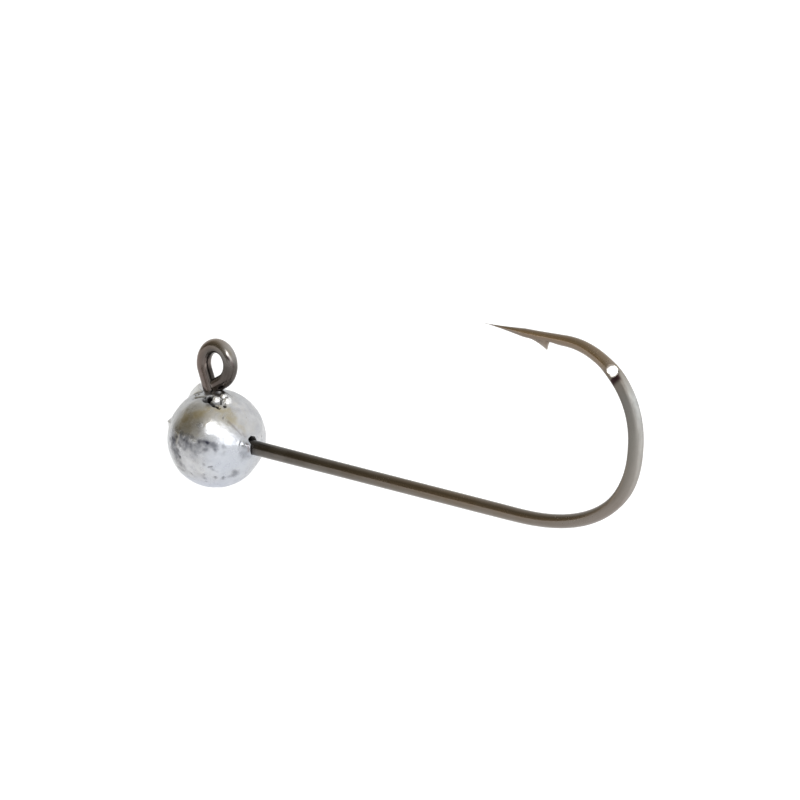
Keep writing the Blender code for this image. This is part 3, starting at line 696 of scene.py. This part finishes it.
def lead_material():
    n = Nodes("cast_lead")
    p = n.object_mm()
    skin = n.noise(p, 1.15, 4.0, 0.62, 0.35)
    fine = n.noise(p, 5.5, 4.0, 0.6, 0.2)
    broad = n.noise(p, 0.38, 2.0, 0.5)
    cavity_shade = n.attribute("cavity_shade")
    clipped = n.attribute("clipped")
    base = n.ramp(skin, ((0.30, (0.47, 0.475, 0.495, 1)), (0.48, (0.535, 0.54, 0.555, 1)), (0.66, (0.61, 0.61, 0.615, 1))))
    warm = n.math("MULTIPLY", n.ramp(broad, ((0.44, grey(0)), (0.62, grey(1)))), 0.22)
    base = n.mix(warm, base, (0.56, 0.53, 0.45, 1))
    # painted cool reflection on the lower front
    base = n.mix(n.math("MULTIPLY", n.attribute("cool_reflection_tint"), 0.60), base, (0.515, 0.555, 0.635, 1))
    # painted bluish reflection on the underside
    base = n.mix(n.math("MULTIPLY", n.attribute("underside_reflection_tint"), 0.75), base, (0.47, 0.50, 0.60, 1))
    # warm tarnish and painted warm reflection
    base = n.mix(n.math("MULTIPLY", n.attribute("warm"), n.ramp(n.noise(p, 2.2, 3.0), ((0.30, grey(0.55)), (0.60, grey(1))))), base, (0.46, 0.40, 0.265, 1))
    # small grey oxide freckles
    cells = n.new("ShaderNodeTexVoronoi", {"Vector": p, "Scale": 2.4, "Randomness": 1.0}, feature="F1")
    freckle = n.ramp(cells.outputs["Distance"], ((0.08, grey(1)), (0.22, grey(0))))
    freckle = n.math("MULTIPLY", freckle, n.ramp(n.noise(p, 0.9, 2.0), ((0.46, grey(0)), (0.60, grey(1)))))
    base = n.mix(n.math("MULTIPLY", freckle, 0.35), base, (0.38, 0.385, 0.41, 1))
    # tarnish with painted shade and painted dark reflection, bluish near black
    tarnish_and_shade = n.math("MULTIPLY", n.attribute("tarnish_and_shade"), n.ramp(n.noise(p, 3.2, 3.0), ((0.30, grey(0.65)), (0.60, grey(1)))))
    base = n.mix(n.math("MULTIPLY", tarnish_and_shade, 1.0, clamp=True), base, (0.034, 0.036, 0.052, 1))
    # painted shade along the folds
    base = n.mix(n.attribute("fold_shade"), base, (0.20, 0.17, 0.17, 1))
    base = n.mix(n.math("MULTIPLY", clipped, 0.85), base, (0.84, 0.84, 0.83, 1))
    # the beads and the burr are painted pale so their highlights spread: painted highlight
    bead_and_burr_highlight = n.attribute("bead_and_burr_highlight")
    base = n.mix(n.math("MULTIPLY", bead_and_burr_highlight, 0.85), base, (0.90, 0.90, 0.90, 1))
    # painted shade in the pits, gaps and creases
    base = n.mix(n.math("MULTIPLY", cavity_shade, 1.0, clamp=True), base, (0.014, 0.012, 0.012, 1))
    rough = n.ramp(skin, ((0.30, grey(0.30)), (0.50, grey(0.22)), (0.70, grey(0.16))))
    rough = n.math("ADD", rough, n.math("MULTIPLY", freckle, 0.10))
    rough = n.math("ADD", rough, n.math("MULTIPLY", clipped, 0.10))
    rough = n.math("ADD", rough, n.math("MULTIPLY", tarnish_and_shade, 0.15))
    rough = n.math("ADD", rough, n.math("MULTIPLY", bead_and_burr_highlight, 0.12))
    rough = n.math("ADD", rough, n.math("MULTIPLY", cavity_shade, 0.45), clamp=True)
    height = n.math("ADD", n.math("MULTIPLY", fine, 0.6), n.math("MULTIPLY", n.noise(p, 14.0, 3.0), 0.2))
    height = n.math("SUBTRACT", height, n.math("MULTIPLY", freckle, 0.35))
    height = n.math("ADD", height, n.math("MULTIPLY", skin, 1.2))
    bump = n.new("ShaderNodeBump", {"Strength": 0.35, "Distance": 0.00004, "Height": height})
    n.put(n.shader, "Specular Tint", (0.84, 0.85, 0.86, 1))
    n.put(n.shader, "Base Color", base)
    n.put(n.shader, "Metallic", 1.0)
    n.put(n.shader, "Roughness", rough)
    n.put(n.shader, "Normal", bump.outputs[0])
    return n.mat


def hook_material(marks):
    n = Nodes("black_nickel_wire")
    uv = n.new("ShaderNodeUVMap", uv_map="wire")
    p = n.object_mm()
    along = n.attribute("along")
    outer = n.attribute("outer")
    forge = n.attribute("forge")
    wear = n.attribute("wear")
    cut = n.attribute("cut")
    flat = n.attribute("flat")
    stretch = n.new("ShaderNodeMapping")
    n.put(stretch, "Vector", uv.outputs[0])
    stretch.inputs["Scale"].default_value = (9.0, 0.35, 1.0)
    drawn = n.noise(stretch.outputs[0], 1.0, 4.0, 0.6)
    fine = n.noise(p, 7.0, 3.0, 0.6)
    cloud = n.noise(p, 0.45, 3.0, 0.55, 0.4)
    # the plating goes from grey-black on the shank to bronze at the point; on top of that the wire's outer side is
    # painted paler as painted reflection of bright surroundings, and its inner side darker as painted shade
    mm = 1.0 / marks["total"]
    inside = n.ramp(along, (
        (0.00, (0.125, 0.100, 0.090, 1)), (2.2 * mm, (0.056, 0.048, 0.043, 1)), (3.6 * mm, (0.046, 0.040, 0.036, 1)), (6.0 * mm, (0.092, 0.080, 0.072, 1)), (7.6 * mm, (0.128, 0.103, 0.093, 1)), (8.3 * mm, (0.014, 0.010, 0.009, 1)),
        (11.6 * mm, (0.016, 0.012, 0.011, 1)), (marks["head"], (0.055, 0.050, 0.045, 1)),
        (marks["third"], (0.085, 0.072, 0.057, 1)), (marks["late"], (0.160, 0.122, 0.086, 1)), (marks["bottom"], (0.160, 0.134, 0.110, 1)),
        (marks["low_right"], (0.165, 0.145, 0.122, 1)), (marks["right"], (0.200, 0.190, 0.172, 1)), (marks["high_right"], (0.130, 0.122, 0.112, 1)),
        (marks["high"], (0.190, 0.150, 0.112, 1)), (marks["point"], (0.190, 0.145, 0.108, 1)), (1.00, (0.180, 0.150, 0.130, 1))))
    # the pale stretches of the outside tone, on the ring and on the bend's right side, are painted reflection
    outside = n.ramp(along, (
        (0.00, (0.085, 0.068, 0.060, 1)), (2.0 * mm, (0.062, 0.053, 0.048, 1)), (2.6 * mm, (0.075, 0.066, 0.060, 1)), (3.3 * mm, (0.310, 0.295, 0.280, 1)), (3.8 * mm, (0.350, 0.330, 0.310, 1)),
        (4.8 * mm, (0.320, 0.268, 0.226, 1)), (5.8 * mm, (0.240, 0.186, 0.154, 1)), (7.6 * mm, (0.205, 0.154, 0.136, 1)), (8.6 * mm, (0.150, 0.118, 0.108, 1)), (12.0 * mm, (0.140, 0.112, 0.104, 1)),
        (marks["head"], (0.105, 0.098, 0.092, 1)),
        (marks["third"], (0.125, 0.115, 0.105, 1)), (marks["late"], (0.152, 0.135, 0.114, 1)), (marks["bottom"], (0.195, 0.172, 0.152, 1)),
        (marks["low_right"], (0.270, 0.236, 0.214, 1)), (marks["right"], (0.520, 0.505, 0.480, 1)), (marks["high_right"], (0.640, 0.650, 0.640, 1)),
        (marks["high"], (0.260, 0.195, 0.130, 1)), (marks["point"], (0.210, 0.150, 0.100, 1)), (1.00, (0.230, 0.190, 0.160, 1))))
    side = n.math("ADD", outer, n.math("MULTIPLY", n.math("SUBTRACT", cloud, 0.5), 0.5))
    half = n.math("MULTIPLY_ADD", side, 0.5, 0.5)
    even = n.ramp(half, ((0.22, grey(0)), (0.96, grey(1))))
    late = n.ramp(half, ((0.22, grey(0)), (0.60, grey(0.17)), (0.80, grey(0.17)), (0.92, grey(0.24)), (0.975, grey(0.70)), (1.0, grey(1))))
    # where the bend's outer side gets its painted sheen profile, and is rougher
    sheen_zone_and_rough = n.ramp(along, ((marks["bottom"], grey(0)), (marks["right"], grey(1)), (marks["over"], grey(1)), (marks["high"], grey(0))))
    # on the stem the inner half is painted near black as painted shade where the ring's tail meets it, split sharply
    # down the middle
    stem = n.ramp(along, ((7.7 * mm, grey(0)), (8.3 * mm, grey(1)), (12.2 * mm, grey(1)), (13.4 * mm, grey(0))))
    even = n.mix(stem, even, n.ramp(n.math("MULTIPLY_ADD", outer, 0.5, 0.5), ((0.15, grey(0)), (0.25, grey(1)))))
    tone = n.mix(n.mix(sheen_zone_and_rough, even, late), inside, outside)
    # a paler bronze band painted high on the side of the point: painted sheen at a fixed place round the wire
    band = n.ramp(n.math("MULTIPLY_ADD", outer, 0.5, 0.5), ((0.525, grey(0)), (0.58, grey(1)), (0.71, grey(1)), (0.79, grey(0.50)), (0.87, grey(0.20)), (0.95, grey(0))))
    band = n.math("MULTIPLY", band, n.ramp(along, ((marks["over"], grey(0)), (marks["over"] + 0.8 * mm, grey(0.45)), (marks["high"] + 1.2 * mm, grey(0.50)), (marks["point"], grey(0.78)), (1.00, grey(0.60)))))
    tone = n.mix(band, tone, (0.76, 0.575, 0.405, 1))
    # and a fainter painted sheen band along the near side of the shank
    band = n.ramp(n.math("MULTIPLY_ADD", outer, 0.5, 0.5), ((0.20, grey(0)), (0.28, grey(0.75)), (0.38, grey(1)), (0.47, grey(0.15)), (0.52, grey(0))))
    band = n.math("MULTIPLY", band, n.ramp(along, ((marks["head"], grey(0)), (marks["third"], grey(0.12)), (marks["late"], grey(0.50)), (marks["bottom"], grey(0.50)), (marks["low_right"], grey(0.30)), (marks["right"], grey(0)))))
    tone = n.mix(band, tone, (0.45, 0.35, 0.265, 1))
    base = n.mix(n.math("MULTIPLY", n.ramp(cloud, ((0.40, grey(0)), (0.62, grey(1)))), 0.20), tone, (0.20, 0.18, 0.165, 1))
    base = n.mix(n.math("MULTIPLY", n.ramp(drawn, ((0.50, grey(0)), (0.72, grey(1)))), 0.14), base, (0.33, 0.31, 0.29, 1))
    base = n.mix(n.math("MULTIPLY", wear, 0.55), base, (0.50, 0.47, 0.44, 1))
    # the flat is partly bare polished metal, partly painted pale so the lamp's glint on it reads white: painted
    # highlight
    base = n.mix(n.math("MULTIPLY", flat, 0.8, clamp=True), base, (0.60, 0.58, 0.56, 1))
    # painted shade just below the flat
    base = n.mix(n.math("MULTIPLY", n.attribute("painted_shade_below_flat"), 0.95), base, (0.026, 0.010, 0.012, 1))
    # painted shade streaks on the ring
    base = n.mix(n.math("MULTIPLY", n.attribute("painted_shade_streak"), 0.92), base, (0.030, 0.018, 0.018, 1))
    base = n.mix(n.math("MULTIPLY", cut, 0.8), base, (0.13, 0.12, 0.11, 1))
    rough = n.ramp(drawn, ((0.30, grey(0.16)), (0.70, grey(0.25))))
    rough = n.math("ADD", rough, n.math("MULTIPLY", n.ramp(fine, ((0.45, grey(0)), (0.70, grey(1)))), 0.06))
    rough = n.math("ADD", rough, n.math("MULTIPLY", sheen_zone_and_rough, 0.30))
    rough = n.math("SUBTRACT", rough, n.math("MULTIPLY", n.math("MULTIPLY", flat, sheen_zone_and_rough), 0.28))
    rough = n.math("ADD", rough, n.math("MULTIPLY", cut, 0.30))
    rough = n.math("ADD", rough, n.math("MULTIPLY", forge, 0.04), clamp=True)
    height = n.math("ADD", n.math("MULTIPLY", drawn, 0.6), n.math("MULTIPLY", fine, 0.4))
    height = n.math("ADD", height, n.math("MULTIPLY", n.math("MULTIPLY", n.noise(p, 4.0, 3.0), cut), 5.0))
    bump = n.new("ShaderNodeBump", {"Strength": 0.30, "Distance": 0.000015, "Height": height})
    n.put(n.shader, "Base Color", base)
    n.put(n.shader, "Metallic", 1.0)
    n.put(n.shader, "Roughness", rough)
    n.put(n.shader, "Normal", bump.outputs[0])
    return n.mat


def floor_material():
    n = Nodes("pale_floor")
    p = n.object_mm()
    tone = n.ramp(n.noise(p, 0.02, 2.0), ((0.3, (0.86, 0.86, 0.86, 1)), (0.7, (0.90, 0.90, 0.90, 1))))
    n.put(n.shader, "Base Color", tone)
    n.put(n.shader, "Roughness", 0.85)
    n.put(n.shader, "Emission Color", (0.97, 0.985, 1.03, 1))
    n.put(n.shader, "Emission Strength", 0.31)
    return n.mat


hook, marks = make_hook()
hook.data.materials.append(hook_material(marks))
ball = make_ball()
ball.data.materials.append(lead_material())

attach(hook, "root")
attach(ball, "root")
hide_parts("jig_hook")
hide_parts("lead_head")

# ---------------------------------------------------------------- floor
bm = bmesh.new()
bmesh.ops.create_grid(bm, x_segments=8, y_segments=8, size=3.0)
floor_mesh = bpy.data.meshes.new("floor")
bm.to_mesh(floor_mesh)
bm.free()
floor = bpy.data.objects.new("floor", floor_mesh)
floor.location = (0, 0, CAD_BOX[0][2] - 0.045)
floor.data.materials.append(floor_material())
bpy.context.scene.collection.objects.link(floor)

# ---------------------------------------------------------------- light
world = bpy.data.worlds.new("studio")
bpy.context.scene.world = world
world.use_nodes = True
wt = world.node_tree
bg = wt.nodes["Background"]
wcoord = wt.nodes.new("ShaderNodeTexCoord")


def wmath(op, a, b=0.0, clamp=False):
    m = wt.nodes.new("ShaderNodeMath")
    m.operation = op
    m.use_clamp = clamp
    for k, v in ((0, a), (1, b)):
        if isinstance(v, bpy.types.NodeSocket):
            wt.links.new(v, m.inputs[k])
        else:
            m.inputs[k].default_value = v
    return m.outputs[0]


def wmix(f, a, b):
    m = wt.nodes.new("ShaderNodeMix")
    m.data_type = "RGBA"
    for k, v in ((0, f), (6, a), (7, b)):
        if isinstance(v, bpy.types.NodeSocket):
            wt.links.new(v, m.inputs[k])
        else:
            m.inputs[k].default_value = v
    return m.outputs[2]


def patch(direction, inner, outer):
    """1 inside a cone round a fixed direction, 0 outside, with a soft edge; angles in degrees."""
    dot = wt.nodes.new("ShaderNodeVectorMath")
    dot.operation = "DOT_PRODUCT"
    wt.links.new(wcoord.outputs["Generated"], dot.inputs[0])
    dot.inputs[1].default_value = direction
    r = wt.nodes.new("ShaderNodeMapRange")
    r.interpolation_type = "SMOOTHSTEP"
    wt.links.new(dot.outputs["Value"], r.inputs["Value"])
    r.inputs["From Min"].default_value = math.cos(math.radians(outer))
    r.inputs["From Max"].default_value = math.cos(math.radians(inner))
    return r.outputs["Result"]


def shade(direction, stops):
    """Colour by angle from a fixed direction; stops are (degrees, colour)."""
    dot = wt.nodes.new("ShaderNodeVectorMath")
    dot.operation = "DOT_PRODUCT"
    wt.links.new(wcoord.outputs["Generated"], dot.inputs[0])
    dot.inputs[1].default_value = direction
    angle = wmath("DIVIDE", wmath("ARCCOSINE", dot.outputs["Value"]), math.pi)
    r = wt.nodes.new("ShaderNodeValToRGB")
    r.color_ramp.interpolation = "B_SPLINE"
    e = r.color_ramp.elements
    e[0].position, e[0].color = stops[0][0] / 180, (*stops[0][1], 1)
    e[1].position, e[1].color = stops[-1][0] / 180, (*stops[-1][1], 1)
    for deg, col in stops[1:-1]:
        x = e.new(deg / 180)
        x.color = (*col, 1)
    wt.links.new(angle, r.inputs[0])
    return r.outputs[0]


def window(direction, along, half_long, half_short, soft):
    """1 inside a soft-edged rectangle of sky, given in degrees from its middle."""
    d = Vector(direction).normalized()
    a = (Vector(along) - d * Vector(along).dot(d)).normalized()
    c = d.cross(a)
    out = []
    axes = []
    for v in (d, a, c):
        dot = wt.nodes.new("ShaderNodeVectorMath")
        dot.operation = "DOT_PRODUCT"
        wt.links.new(wcoord.outputs["Generated"], dot.inputs[0])
        dot.inputs[1].default_value = v
        axes.append(dot.outputs["Value"])
    front = wmath("GREATER_THAN", axes[0], 0.05)
    for v, half in ((axes[1], half_long), (axes[2], half_short)):
        angle = wmath("ABSOLUTE", wmath("ARCTAN2", v, axes[0]))
        r = wt.nodes.new("ShaderNodeMapRange")
        r.interpolation_type = "SMOOTHSTEP"
        wt.links.new(angle, r.inputs["Value"])
        r.inputs["From Min"].default_value = math.radians(half + soft)
        r.inputs["From Max"].default_value = math.radians(max(half - soft, 0.1))
        out.append(r.outputs["Result"])
    return wmath("MULTIPLY", front, wmath("MULTIPLY", out[0], out[1]))


colour = shade(from_view(-0.941, 0.329, 0.073), (
    (0, (0.205, 0.182, 0.128)), (18, (0.252, 0.220, 0.158)), (31, (0.356, 0.329, 0.262)), (44, (0.501, 0.482, 0.423)),
    (56, (0.70, 0.69, 0.67)), (68, (0.78, 0.78, 0.77)), (82, (0.868, 0.874, 0.858)), (100, (0.965, 0.968, 0.985)),
    (118, (1.12, 1.13, 1.11)), (134, (1.01, 1.02, 1.03)), (180, (0.97, 0.97, 0.97))))
colour = wmix(patch(from_view(0.45, 0.66, 0.60), 6, 24), colour, (0.78, 0.74, 0.61, 1))
colour = wmix(wmath("MULTIPLY", patch(from_view(-0.54, 0.42, -0.70), 8, 28), 0.75), colour, (0.98, 0.98, 0.97, 1))
lamp = window(from_view(0.262, 0.150, 0.953), right * 0.825 - up * 0.567, 39, 14, 6)
colour = wmix(lamp, colour, (2.5, 2.5, 2.5, 1))
colour = wmix(wmath("MULTIPLY", lamp, patch(from_view(-0.28, 0.50, 0.82), 6, 15)), colour, (9.0, 8.9, 8.8, 1))
wt.links.new(colour, bg.inputs["Color"])
bg.inputs["Strength"].default_value = 1.0

scene = bpy.context.scene
scene.view_settings.view_transform = "Standard"
scene.view_settings.look = "None"
scene.view_settings.exposure = 0.0
scene.view_settings.gamma = 1.0
